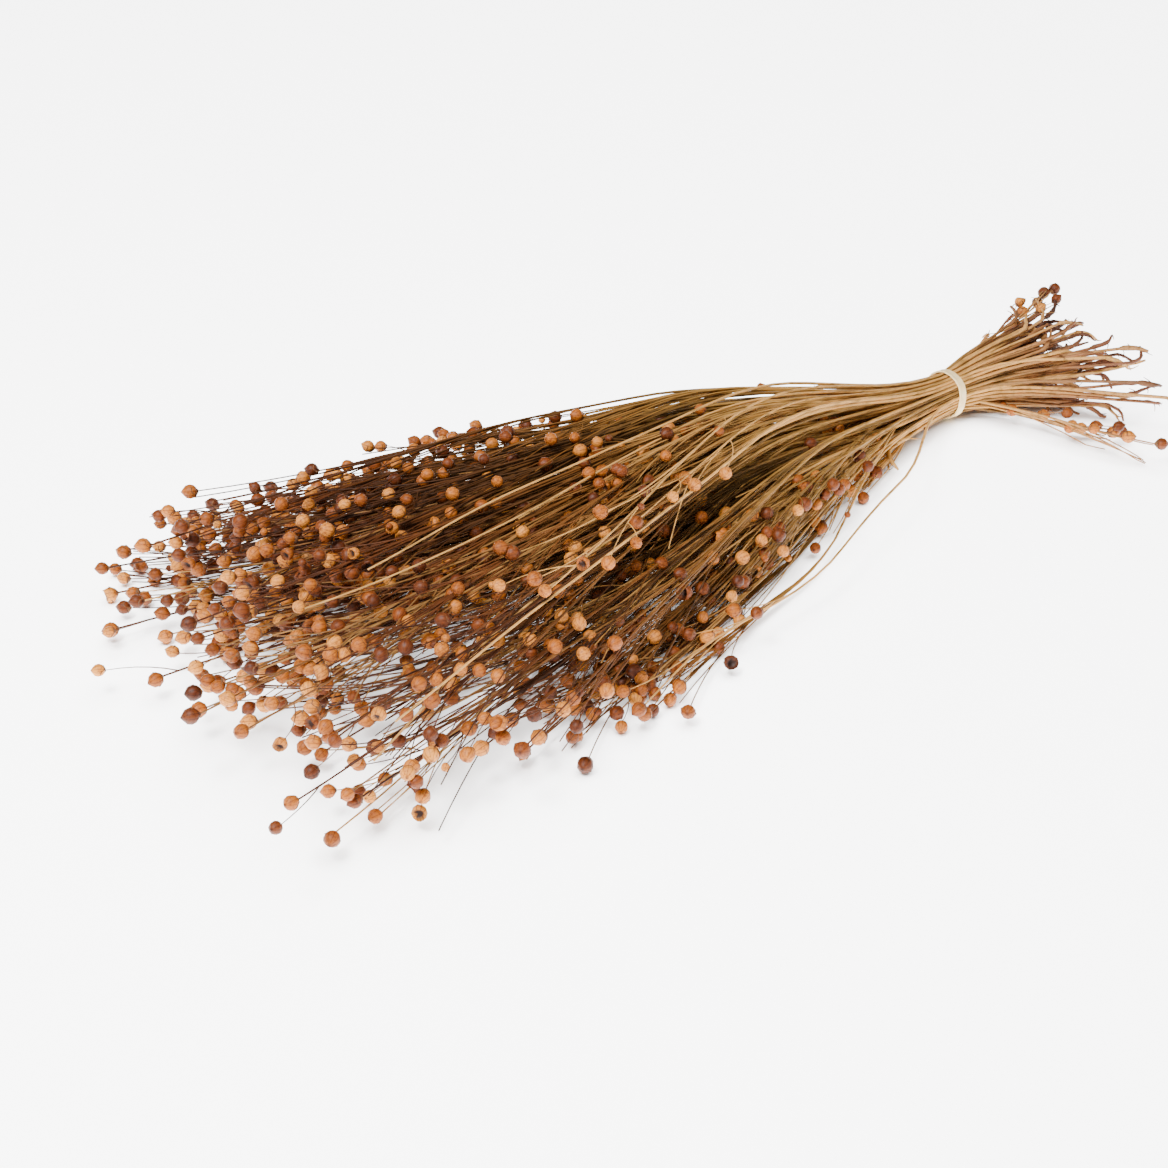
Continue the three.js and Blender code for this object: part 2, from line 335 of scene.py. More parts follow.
def boll_material():
    """A ripe flax capsule: a thin papery shell, satin where it bulges, darker along its seams and beak, with
    painted shade inside a torn one.
    """
    material, tree, shader = new_material("ripe_flax_capsule", "#C08550")
    uv = add(tree, "UVMap", uv_map="UVMap").outputs["UV"]
    place = add(tree, "TexCoord").outputs["Object"]
    split = add(tree, "SeparateXYZ", {"Vector": uv})
    around, up = split.outputs["X"], split.outputs["Y"]
    turns = add(tree, "Math", {0: around, 1: 10.0}, operation="MULTIPLY").outputs["Value"]
    seam = add(tree, "Math", {0: turns, 1: 0.5}, operation="PINGPONG").outputs["Value"]
    tone = add(tree, "Attribute", attribute_name="tone").outputs["Fac"]
    hollow_shade = add(tree, "Attribute", attribute_name="hollow_shade").outputs["Fac"]
    base = add(tree, "ValToRGB", {"Fac": tone}, stops=[
        (0.0, "#4E2208"), (0.25, "#783A0E"), (0.6, "#AC601C"), (1.0, "#DA8E3A"),
    ]).outputs["Color"]
    # Mottling of about 1.2 mm.
    mottle = add(tree, "TexNoise", {"Vector": place, "Scale": 850.0, "Detail": 4.0}).outputs["Fac"]
    stain = add(tree, "ValToRGB", {"Fac": mottle}, stops=[
        (0.32, "#8A4B22"), (0.52, "#FFFFFF"),
    ]).outputs["Color"]
    lines = add(tree, "ValToRGB", {"Fac": seam}, stops=[(0.0, "#6B3C1C"), (0.16, "#FFFFFF")]).outputs["Color"]
    ends = add(tree, "ValToRGB", {"Fac": up}, stops=[
        (0.08, "#8F6A48"), (0.35, "#FFFFFF"), (0.86, "#FFFFFF"), (0.98, "#5A3218"),
    ]).outputs["Color"]
    colour = base
    for layer, strength in ((stain, 0.55), (lines, 0.6), (ends, 0.8)):
        colour = add(tree, "Mix", {"Factor": strength, "A": colour, "B": layer},
                     data_type="RGBA", blend_type="MULTIPLY").outputs["Result"]
    # Painted shade: the inside of a torn boll is coloured near-black brown, as the hollow looks in shade.
    colour = add(tree, "Mix", {"Factor": hollow_shade, "A": colour, "B": linear("#2A1206")},
                 data_type="RGBA").outputs["Result"]
    rough = add(tree, "MapRange", {"Value": mottle, "To Min": 0.62, "To Max": 0.42}).outputs["Result"]
    height = add(tree, "Math", {0: seam, 1: mottle}, operation="ADD").outputs["Value"]
    bump = add(tree, "Bump", {"Height": height, "Strength": 0.4, "Distance": 0.0003}).outputs["Normal"]
    for socket, value in (("Base Color", colour), ("Roughness", rough), ("Normal", bump)):
        tree.links.new(value, shader.inputs[socket])
    shader.inputs["Specular IOR Level"].default_value = 0.25
    return material


def sepal_material():
    """Dried sepals: thin withered leaf, matt and dark brown."""
    material, tree, shader = new_material("withered_sepal", "#5E3A20")
    place = add(tree, "TexCoord").outputs["Object"]
    wither = add(tree, "TexNoise", {"Vector": place, "Scale": 1400.0, "Detail": 3.0}).outputs["Fac"]
    colour = add(tree, "ValToRGB", {"Fac": wither}, stops=[
        (0.3, "#3C2212"), (0.7, "#7F5128"),
    ]).outputs["Color"]
    rough = add(tree, "MapRange", {"Value": wither, "To Min": 0.7, "To Max": 0.95}).outputs["Result"]
    bump = add(tree, "Bump", {"Height": wither, "Strength": 0.4, "Distance": 0.0002}).outputs["Normal"]
    for socket, value in (("Base Color", colour), ("Roughness", rough), ("Normal", bump)):
        tree.links.new(value, shader.inputs[socket])
    return material


def latex_material():
    """A flat band of undyed natural latex: cream, a little waxy, with fine lines left by its extrusion."""
    material, tree, shader = new_material("natural_latex_band", "#EBDFC0")
    place = add(tree, "TexCoord").outputs["Object"]
    # Extrusion lines 0.5 mm apart, side by side across the band's width.
    lined = add(tree, "Mapping", {"Vector": place, "Scale": (2000.0, 60.0, 60.0)}).outputs["Vector"]
    line = add(tree, "TexNoise", {"Vector": lined, "Scale": 1.0, "Detail": 2.0}).outputs["Fac"]
    bloom = add(tree, "TexNoise", {"Vector": place, "Scale": 260.0, "Detail": 3.0}).outputs["Fac"]
    colour = add(tree, "ValToRGB", {"Fac": bloom}, stops=[
        (0.3, "#FFD894"), (0.65, "#FFE8B4"),
    ]).outputs["Color"]
    lines = add(tree, "ValToRGB", {"Fac": line}, stops=[(0.35, 0.82), (0.6, 1.0)]).outputs["Color"]
    colour = add(tree, "Mix", {"Factor": 0.7, "A": colour, "B": lines},
                 data_type="RGBA", blend_type="MULTIPLY").outputs["Result"]
    rough = add(tree, "MapRange", {"Value": bloom, "To Min": 0.42, "To Max": 0.62}).outputs["Result"]
    bump = add(tree, "Bump", {"Height": line, "Strength": 0.3, "Distance": 0.0002}).outputs["Normal"]
    for socket, value in (("Base Color", colour), ("Roughness", rough), ("Normal", bump)):
        tree.links.new(value, shader.inputs[socket])
    return material


def card_material(colour):
    """Matt white card with the faint tooth of its surface."""
    material, tree, shader = new_material("matt_white_card", "#F4F3F1")
    place = add(tree, "TexCoord").outputs["Object"]
    tooth = add(tree, "TexNoise", {"Vector": place, "Scale": 400.0, "Detail": 2.0}).outputs["Fac"]
    bump = add(tree, "Bump", {"Height": tooth, "Strength": 0.05, "Distance": 0.0002}).outputs["Normal"]
    tree.links.new(bump, shader.inputs["Normal"])
    shader.inputs["Base Color"].default_value = tuple(colour) + (1.0,)
    shader.inputs["Roughness"].default_value = 0.9
    return material


# ---------------------------------------------------------------- modelling by hand


def only(*objects):
    """Selects just these, with the first one active."""
    bpy.ops.object.select_all(action="DESELECT")
    for o in objects:
        o.select_set(True)
    bpy.context.view_layer.objects.active = objects[0]


def select_points(mesh_object, wanted):
    """In edit mode, selects the points that wanted(place) is true for."""
    bpy.ops.object.mode_set(mode="EDIT")
    bpy.ops.mesh.select_mode(type="VERT")
    bpy.ops.mesh.select_all(action="DESELECT")
    bpy.ops.object.mode_set(mode="OBJECT")
    for point in mesh_object.data.vertices:
        point.select = bool(wanted(point.co))
    bpy.ops.object.mode_set(mode="EDIT")


def meridian(place):
    """Which of the ten lines from pole to pole a point is on, or None at a pole."""
    if math.hypot(place.x, place.y) < 1e-3:
        return None
    return round(math.atan2(place.y, place.x) / (math.pi / 5)) % 10


def on_groove(place):
    line = meridian(place)
    return line is not None and line % 2 == 1


def mark(mesh_object, name, value_at):
    """Stores a number on every point of a mesh."""
    mesh = mesh_object.data
    layer = mesh.attributes.get(name) or mesh.attributes.new(name, "FLOAT", "POINT")
    layer.data.foreach_set("value", [value_at(point.co) for point in mesh.vertices])


# How far each of a torn boll's ten edges stands above the middle of its top half, in radii.
TORN_EDGE = (-0.32, -0.2, 0.1, 0.42, 0.3, 0.5, 0.24, 0.44, 0.12, -0.15)


def boll_pattern(name, materials, torn):
    """One boll of radius 1 round the origin, foot down, with its sepals. A torn one has lost its top."""
    bpy.ops.object.select_all(action="DESELECT")
    bpy.ops.mesh.primitive_uv_sphere_add(segments=10, ring_count=6, radius=1.0)
    shell = bpy.context.object
    shell.name = name
    select_points(shell, on_groove)
    bpy.ops.transform.resize(value=(0.965, 0.965, 1.0))
    if torn:
        select_points(shell, lambda p: p.z > 0.9)
        bpy.ops.transform.translate(value=(0.1, 0, -1.1))
        select_points(shell, lambda p: 0.8 < p.z < 0.9)
        bpy.ops.transform.resize(value=(1.1, 0.8, 1.0))
        bpy.ops.transform.translate(value=(0.12, 0, -0.75))
        for line, rise in enumerate(TORN_EDGE):
            select_points(shell, lambda p: 0.45 < p.z < 0.55 and p.length > 0.9 and meridian(p) == line)
            bpy.ops.transform.resize(value=(1 - 0.3 * rise, 1 - 0.3 * rise, 1.0), center_override=(0, 0, 0.5))
            bpy.ops.transform.translate(value=(0, 0, rise))
    else:
        select_points(shell, lambda p: p.z > 0.9)
        bpy.ops.transform.translate(value=(0, 0, 0.2))
        select_points(shell, lambda p: 0.8 < p.z < 0.9)
        bpy.ops.transform.resize(value=(0.9, 0.9, 1.0))
    select_points(shell, lambda p: p.z < -0.9)
    bpy.ops.transform.translate(value=(0, 0, 0.08))
    bpy.ops.object.mode_set(mode="OBJECT")
    shell.data.materials.append(materials["boll"])
    # Marks the inside of a torn boll, which the capsule material fills with painted shade.
    mark(shell, "hollow_shade", lambda p: 1.0 if torn and math.hypot(p.x, p.y) < 0.55 and p.z > -0.5 else 0.0)
    bpy.ops.object.select_all(action="DESELECT")
    bpy.ops.mesh.primitive_cone_add(vertices=10, radius1=0.22, radius2=0.8, depth=0.5, location=(0, 0, -0.85))
    cup = bpy.context.object
    bpy.ops.object.transform_apply(location=True, rotation=True, scale=True)
    select_points(cup, lambda p: p.z > -0.7 and not on_groove(p) and meridian(p) is not None)
    bpy.ops.transform.resize(value=(1.34, 1.34, 1.0))
    bpy.ops.transform.translate(value=(0, 0, 0.52))
    select_points(cup, lambda p: p.z > -0.7 and on_groove(p) and p.z < -0.3)
    bpy.ops.transform.resize(value=(0.95, 0.95, 1.0))
    bpy.ops.transform.translate(value=(0, 0, -0.12))
    bpy.ops.object.mode_set(mode="OBJECT")
    cup.data.materials.append(materials["sepal"])
    mark(cup, "hollow_shade", lambda p: 0.0)
    only(shell, cup)
    bpy.ops.object.join()
    bpy.ops.object.shade_smooth()
    return shell


def quadratic(start, knee, end, count):
    """Points on the curve from start to end that leans towards knee."""
    points = []
    for i in range(count):
        share = i / (count - 1)
        points.append(start * (1 - share) ** 2 + knee * 2 * share * (1 - share) + end * share ** 2)
    return points


def straws(name, runs, material, tone):
    """One mesh of round tubes: each run is a list of (point in metres, radius in metres)."""
    bpy.ops.object.select_all(action="DESELECT")
    bpy.ops.curve.primitive_nurbs_path_add()
    path = bpy.context.object
    path.name = name
    curve = path.data
    curve.splines.clear()
    curve.bevel_depth = 1.0
    curve.bevel_resolution = 1
    curve.use_fill_caps = True
    for run in runs:
        spline = curve.splines.new("POLY")
        spline.points.add(len(run) - 1)
        for point, (place, radius) in zip(spline.points, run):
            point.co = (*place, 1.0)
            point.radius = radius
    only(path)
    bpy.ops.object.convert(target="MESH")
    tubes = bpy.context.object
    tubes.data.materials.clear()
    tubes.data.materials.append(material)
    if not tubes.data.uv_layers:
        tubes.data.uv_layers.new(name="UVMap")
    tubes.data.uv_layers[0].name = "UVMap"
    mark(tubes, "tone", lambda p: tone)
    mark(tubes, "hollow_shade", lambda p: 0.0)
    return tubes


# ---------------------------------------------------------------- one stalk


# A taproot bends this many times, each bend being this share of its length, and lies at least so high in mm.
ROOT_STEPS = 7
ROOT_STEP = 0.085
LOWEST_ROOT = 1.6
# How far the stalks between drift at most from their places: heads aside and up, roots aside and up.
WIDEST_DRIFT = (0.9, 0.5, 0.8, 0.5)
# Tones of a straw, from 0 dark to 1 bleached.
BLEACHED = 1.0
NEARLY_BLEACHED = 0.97
DARKER = 0.93

class Stalk:
    """Grows one stalk as the lists that its mesh is made from."""

    def __init__(self, bundle, plan, seed, bolls, twigs, laterals=8, drift=(0, 0, 0, 0)):
        self.bundle = bundle
        self.plan = plan
        self.drift = drift
        self.draw = stream(seed + LOOKS_SEED)
        self.runs = []
        self.bolls = []
        self.stout = lerp(0.82, 1.12, self.draw())
        self.wobble = [lerp(0.4, 1.5, self.draw()), 2 * math.pi * self.draw(), 2 * math.pi * self.draw(),
                       lerp(26, 46, self.draw()), lerp(11, 17, self.draw())]
        self.grow_stem()
        self.grow_root()
        if bolls:
            self.grow_branches(twigs, laterals)

    def stem_point(self, s, da=0.0, db=0.0):
        """A point of the stem, with the slight bends that real straw has."""
        size, first, second, long, small = self.wobble
        head_side, head_up, root_side, root_up = self.drift
        heads = smoothstep(s, 15, 0.62 * self.plan["tip"])
        roots = smoothstep(-s, 8, 115)
        da += head_side * heads + root_side * roots
        db += head_up * heads + root_up * roots
        point = self.bundle.on_stalk(self.plan, s, da, db)
        free = smoothstep(abs(s), 20, 150)
        point.y += free * size * (math.sin(first + s / long) + 0.3 * math.sin(second + s / small))
        point.z += free * size * 0.7 * (math.sin(second + s / long) + 0.3 * math.sin(first + s / small))
        point.z = max(point.z, self.bundle.rest_height(self.plan["way"] * s) - 1.5)
        return point

    def stem_radius(self, s):
        bundle = self.bundle
        above = max(s, 0) / self.plan["tip"]
        thick = lerp(bundle.stem_diameter, bundle.tip_diameter * 0.9, above ** 0.9)
        return thick / 2 * self.stout * MM

    def grow_stem(self):
        plan = self.plan
        self.soil = -plan["root"] + self.bundle.taproot_length * 0.6
        count = max(8, round((plan["tip"] - self.soil) / 15))
        self.line = [lerp(self.soil, plan["tip"], i / count) for i in range(count + 1)]
        points = [self.stem_point(s) for s in self.line]
        self.runs.append([(self.bundle.to_frame(p), self.stem_radius(s)) for p, s in zip(points, self.line)])

    def direction(self, s):
        return (self.stem_point(s + 4) - self.stem_point(s - 4)).normalized()

    def grow_root(self):
        """The crooked taproot, thicker than the stem where it starts, with a few rootlets."""
        draw = self.draw
        place = self.stem_point(self.soil)
        heading = -self.direction(self.soil + 5)
        radius = self.stem_radius(self.soil) * lerp(1.15, 1.9, draw())
        turn = lerp(-0.32, 0.32, draw())
        dip = lerp(-0.3, 0.06, draw())
        run = [(self.bundle.to_frame(place), self.stem_radius(self.soil))]
        for i in range(ROOT_STEPS):
            heading = Matrix.Rotation(turn * 0.7 + lerp(-0.42, 0.42, draw()), 3, "Z") @ heading
            heading.z += dip * lerp(0.2, 1, draw())
            heading.normalize()
            place = place + heading * self.bundle.taproot_length * ROOT_STEP
            place.z = max(place.z, LOWEST_ROOT)
            share = (i + 1) / ROOT_STEPS
            knobbly = lerp(0.88, 1.14, draw())
            run.append((self.bundle.to_frame(place), radius * lerp(1.0, 0.5, share ** 1.6) * knobbly))
            if draw() < 0.42:
                self.grow_rootlet(place, heading, radius * 0.42)
        self.runs.append(run)

    def grow_rootlet(self, place, heading, radius):
        draw = self.draw
        side = Vector((lerp(-0.2, 1.0, draw()), lerp(-1, 1, draw()), lerp(-0.8, 0.45, draw())))
        end = place + side * lerp(3, 7.5, draw())
        end.z = max(end.z, 1.0)
        knee = place + heading * 3
        points = quadratic(place, knee, end, 4)
        self.runs.append([
            (self.bundle.to_frame(p), radius * lerp(1, 0.3, i / 3)) for i, p in enumerate(points)])

    def carry_boll(self, foot, heading, size=1.0):
        """Notes a boll with its foot here, tipped a little off its branch."""
        draw = self.draw
        heading = (heading + Vector((draw() - 0.5, draw() - 0.5, draw() - 0.35)) * 0.7).normalized()
        radius = self.bundle.boll_diameter / 2 * size * lerp(0.92, 1.16, draw())
        centre = foot + heading * radius * 0.92
        centre.z = max(centre.z, radius * 0.98)
        kind = draw()
        roll = 2 * math.pi * draw()
        tone = draw()
        self.bolls.append((self.bundle.to_frame(centre), heading, radius * MM, kind, roll, tone))

    def grow_branches(self, twigs, laterals):
        draw = self.draw
        bundle = self.bundle
        thin = bundle.branch_diameter / 2 * MM
        tip = self.plan["tip"]
        self.carry_boll(self.stem_point(tip), self.direction(tip))
        for start, length, aside, over in self.plan["branches"]:
            points = []
            for i in range(7):
                share = i / 6
                points.append(self.stem_point(start + length * share, aside * share ** 2, over * share ** 2))
            self.runs.append([
                (bundle.to_frame(p), thin * lerp(1.0, 0.62, i / 6)) for i, p in enumerate(points)])
            self.carry_boll(points[-1], (points[-1] - points[-2]).normalized())
            if draw() < 0.6:
                self.grow_twig(points[3], (points[4] - points[3]).normalized(), lerp(10, 20, draw()))
        for _ in range(twigs):
            s = tip - lerp(8, 120, draw() ** 1.3)
            self.grow_twig(self.stem_point(s), self.direction(s), lerp(14, 38, draw()))
        for _ in range(math.floor(laterals * (1 + 0.6 * draw()))):
            self.grow_lateral(tip)

    def grow_lateral(self, tip):
        """A long thin side stem that leaves low down and runs with the others up to the heads."""
        draw = self.draw
        start = tip * lerp(0.24, 0.82, draw())
        reach = min(lerp(90, 210, draw()), tip * 0.95 - start)
        aside = 0.4 * (draw() - draw()) * (1 - 0.6 * min(abs(self.plan["a"]), 1))
        over = lerp(-0.75, 0.12, draw())
        points = []
        for i in range(9):
            share = i / 8
            points.append(self.stem_point(start + reach * share, aside * share ** 1.4, over * share ** 1.4))
        thick = self.stem_radius(start) * 0.74
        thin = self.bundle.branch_diameter / 2 * 0.8 * MM
        self.runs.append([(self.bundle.to_frame(p), lerp(thick, thin, i / 8)) for i, p in enumerate(points)])
        if draw() < 0.26 and self.plan["way"] > 0:
            self.carry_boll(points[-1], (points[-1] - points[-2]).normalized())

    def grow_twig(self, start, along, length):
        """A thin branchlet that leaves at an angle, bends back along the stalk and carries a boll."""
        draw = self.draw
        across = along.cross(UP).normalized() * (1 if draw() < 0.5 else -1)
        lean = lerp(0.45, 1.1, draw())
        side = across * math.sin(lean) + UP * lerp(-0.25, 0.4, draw())
        knee = start + (along * math.cos(lean) + side) * length * 0.5
        end = knee + (along + side * 0.35).normalized() * length * 0.55
        for point in (knee, end):
            point.z = max(point.z, 2.2)
        points = quadratic(start, knee, end, 6)
        thin = self.bundle.branch_diameter / 2 * MM
        self.runs.append([
            (self.bundle.to_frame(p), thin * lerp(0.85, 0.5, i / 5)) for i, p in enumerate(points)])
        small = draw() < 0.16
        self.carry_boll(points[-1], (points[-1] - points[-2]).normalized(), 0.55 if small else 0.94)


def boll_copy(pattern, centre, heading, radius, roll, tone):
    """A copy of a boll pattern with its own mesh, in its place."""
    copy = pattern.copy()
    copy.data = pattern.data.copy()
    bpy.context.collection.objects.link(copy)
    turn = Vector((0, 0, 1)).rotation_difference(heading).to_matrix().to_4x4()
    spin = Matrix.Rotation(roll, 4, "Z")
    copy.matrix_world = Matrix.Translation(centre) @ turn @ spin @ Matrix.Scale(radius, 4)
    mark(copy, "tone", lambda p: tone)
    return copy


def make_stalk(name, stalk, tone, torn_share):
    """The finished piece of one stalk: its tubes and its bolls in one mesh."""
    look = bpy.data.materials
    piece = straws(name, stalk.runs, look["dry_flax_straw"], tone)
    copies = []
    for centre, heading, radius, kind, roll, boll_tone in stalk.bolls:
        pattern = bpy.data.objects["torn_boll" if kind < torn_share else "closed_boll"]
        copies.append(boll_copy(pattern, centre, heading, radius, roll, boll_tone))
    only(piece, *copies)
    if copies:
        bpy.ops.object.join()
    bpy.ops.object.shade_smooth()
    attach(piece, "root")
    return piece


# ---------------------------------------------------------------- settings


def length(name, millimetres, description):
    return FloatProperty(name=name, default=millimetres * MM, min=0.0, unit="LENGTH", description=description)


class FlaxSizes(bpy.types.PropertyGroup):
    head_length: length("Head length", 540, "From the band to the tip of the longest stalk")
    root_length: length("Root length", 102, "From the band to the end of the longest taproot")
    head_width: length("Head width", 280, "Spread of the seed heads")
    head_height: length("Head height", 66, "Height of the seed heads")
    root_width: length("Root width", 96, "Spread of the root ends")
    root_height: length("Root height", 60, "Height of the root ends")
    root_aside: length("Root aside", 26, "How far the root ends lie to one side")
    stem_diameter: length("Stem diameter", 2.0, "At the band")
    tip_diameter: length("Tip diameter", 1.0, "Of a stem under its top boll")
    taproot_diameter: length("Taproot diameter", 0.8, "At the end of the taproot")
    taproot_length: length("Taproot length", 30, "Of the part that grew in the ground")
    branch_diameter: length("Branch diameter", 0.8, "Of the branches that carry bolls")
    boll_diameter: length("Boll diameter", 7.2, "Of a seed boll")
    band_width: length("Band width", 5.4, "Of the band that holds the stalks")
    band_thickness: length("Band thickness", 1.5, "Of the band that holds the stalks")


class FlaxLook(bpy.types.PropertyGroup):
    twigs: IntProperty(name="Branchlets", default=1, min=0, description="Most branchlets added to each stalk")
    laterals: IntProperty(name="Side stems", default=8, min=0,
                          description="Fewest long side stems of each stalk that lies with the others")
    torn_share: FloatProperty(name="Torn bolls", default=0.08, min=0.0, max=1.0, subtype="FACTOR",
                              description="Share of the bolls that have lost their top")
    bare_straws: IntProperty(name="Bare straws", default=5, min=0,
                             description="Pale straws without bolls that lie over the top")


class FlaxStage(bpy.types.PropertyGroup):
    floor_colour: FloatVectorProperty(name="Floor colour", default=(0.9, 0.9, 0.9), subtype="COLOR",
                                      min=0.0, max=1.0, description="Colour of the table")
    azimuth: FloatProperty(name="Azimuth", default=math.radians(-36.9), subtype="ANGLE",
                           description="Turn of the camera round the bundle")
    elevation: FloatProperty(name="Elevation", default=math.radians(34.0), subtype="ANGLE",
                             description="Height of the camera above the horizon")
    distance: length("Distance", 971, "From the camera to the point that it looks at")
    lens: FloatProperty(name="Lens", default=55.0, min=1.0, unit="CAMERA", description="Focal length")


# ---------------------------------------------------------------- operators


class FLAX_OT_boll_patterns(bpy.types.Operator):
    """Model the materials and one boll of each kind, which the stalks copy"""
    bl_idname = "flax.boll_patterns"
    bl_label = "Boll patterns"

    def execute(self, context):
        straw_material(Bundle(context.scene.flax_sizes))
        materials = {"boll": boll_material(), "sepal": sepal_material()}
        boll_pattern("closed_boll", materials, torn=False)
        boll_pattern("torn_boll", materials, torn=True)
        return {"FINISHED"}


class FLAX_OT_solid_stalks(bpy.types.Operator):
    """Lay the stalks that stand where the solids do"""
    bl_idname = "flax.solid_stalks"
    bl_label = "Stalks"

    def execute(self, context):
        bundle = Bundle(context.scene.flax_sizes)
        look = context.scene.flax_look
        for number, place in enumerate(bundle.places):
            turned = number in TURNED_ROUND
            loose = TURNED_ROUND.get(number) or LOOSE.get(number) or STRAIGHT
            plan = bundle.plan(number, place, loose, -1 if turned else 1)
            stalk = Stalk(bundle, plan, number, bolls=True, twigs=0 if turned else look.twigs,
                          laterals=1 if number in LOOSE else 4 if turned else look.laterals)
            tone = NEARLY_BLEACHED if number in LOOSE else stalk.draw()
            piece = make_stalk(f"stalk_{number + 1:02d}", stalk, tone, look.torn_share)
            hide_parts(f"flax_stalk_{number + 1:02d}")
        return {"FINISHED"}


class FLAX_OT_fill_stalks(bpy.types.Operator):
    """Fill the places between the solids' stalks, and lay a few bare straws over the top"""
    bl_idname = "flax.fill_stalks"
    bl_label = "Stalks between"

    def execute(self, context):
        bundle = Bundle(context.scene.flax_sizes)
        look = context.scene.flax_look
        on_top = sorted(range(len(bundle.between)), key=lambda i: -bundle.between[i][1])[:look.bare_straws]
        for index, place in enumerate(bundle.between):
            draw = stream(index + BETWEEN_PLACE_SEED)
            bare = index in on_top
            loose = {
                "aside": lerp(-70, 10, draw()) if bare else 34 * (draw() - draw()),
                "lift": lerp(4, 9, draw()) if bare else 12 * (draw() - draw()),
                "bow": 0,
            }
            if index % 6 == 1:
                loose["tip"] = lerp(90, 300, draw())
            plan = bundle.plan(index + BETWEEN_SEED, place, loose)
            drift = [widest * (draw() - draw()) for widest in WIDEST_DRIFT]
            if plan["a"] < -0.2 and draw() < 0.5:
                drift[2] -= lerp(0.4, 1.3, draw())
            side = bundle.on_stalk(plan, plan["tip"], drift[0], drift[1]).y
            loose["aside"] -= side - min(max(side, -WIDEST_TIP), WIDEST_TIP)
            stalk = Stalk(bundle, plan, index + BETWEEN_SEED, bolls=not bare, twigs=look.twigs,
                          laterals=look.laterals + 5, drift=drift)
            tone = BLEACHED if bare else draw() * DARKER
            make_stalk(f"filling_stalk_{index + 1:03d}", stalk, tone, look.torn_share)
        return {"FINISHED"}


class FLAX_OT_band(bpy.types.Operator):
    """Stretch the flat latex band round the stems"""
    bl_idname = "flax.band"
    bl_label = "Band"

    def execute(self, context):
        bundle = Bundle(context.scene.flax_sizes)
        inner = bundle.neck + bundle.stem_diameter / 2 + 0.15
        thickness = bundle.band_thickness - 0.25
        bpy.ops.object.select_all(action="DESELECT")
        bpy.ops.mesh.primitive_cylinder_add(vertices=72, radius=(inner + thickness / 2) * MM,
                                            depth=bundle.band_width * MM, end_fill_type="NOTHING")
        band = context.object
        band.name = "latex_band"
        bpy.ops.object.mode_set(mode="EDIT")
        bpy.ops.mesh.select_all(action="DESELECT")
        bpy.ops.mesh.select_mode(type="EDGE")
        bpy.ops.object.mode_set(mode="OBJECT")
        for edge in band.data.edges:
            low, high = (band.data.vertices[i].co for i in edge.vertices)
            edge.select = abs(low.z - high.z) > 1 * MM
        bpy.ops.object.mode_set(mode="EDIT")
        bpy.ops.mesh.subdivide(number_cuts=5)
        bpy.ops.object.mode_set(mode="OBJECT")
        half = bundle.band_width / 2 * MM
        for point in band.data.vertices:
            angle = math.atan2(point.co.y, point.co.x)
            over_stems = 0.16 * math.cos(19 * angle + 0.6 * math.sin(3 * angle))
            over_stems += 0.12 * math.sin(5 * angle + 1)
            across = point.co.z / half
            curl = 0.22 * across ** 4 - 0.1 * (1 - across ** 2)
            raised = (over_stems * (1 - 0.4 * across ** 2) + curl) * MM
            grown = 1 + raised / math.hypot(point.co.x, point.co.y)
            point.co.x *= grown
            point.co.y *= grown
            point.co.z += (0.35 * math.sin(angle * 2 + 0.7) + 0.18 * math.sin(angle * 5)) * MM
        thick = band.modifiers.new("wall", "SOLIDIFY")
        thick.thickness = thickness * MM
        thick.offset = 0.0
        ease = band.modifiers.new("rounded_edges", "BEVEL")
        ease.width = 0.32 * MM
        ease.segments = 2
        smooth = band.modifiers.new("smooth", "SUBSURF")
        smooth.levels = smooth.render_levels = 1
        for modifier in list(band.modifiers):
            bpy.ops.object.modifier_apply(modifier=modifier.name)
        lean = math.atan2(BAND_HIGH[0] - BAND_LOW[0] - bundle.band_width * MM, BAND_HIGH[2] - BAND_LOW[2])
        band.rotation_euler = (0, math.pi / 2 + lean, 0)
        band.location = [(low + high) / 2 for low, high in zip(BAND_LOW, BAND_HIGH)]
        bpy.ops.object.transform_apply(location=True, rotation=True, scale=True)
        bpy.ops.object.shade_smooth()
        band.data.materials.append(latex_material())
        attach(band, "root")
        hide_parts("elastic_band")
        return {"FINISHED"}


class FLAX_OT_clear_patterns(bpy.types.Operator):
    """Take away the bolls that the stalks were copied from"""
    bl_idname = "flax.clear_patterns"
    bl_label = "Clear patterns"

    def execute(self, context):
        only(bpy.data.objects["closed_boll"], bpy.data.objects["torn_boll"])
        bpy.ops.object.delete()
        return {"FINISHED"}


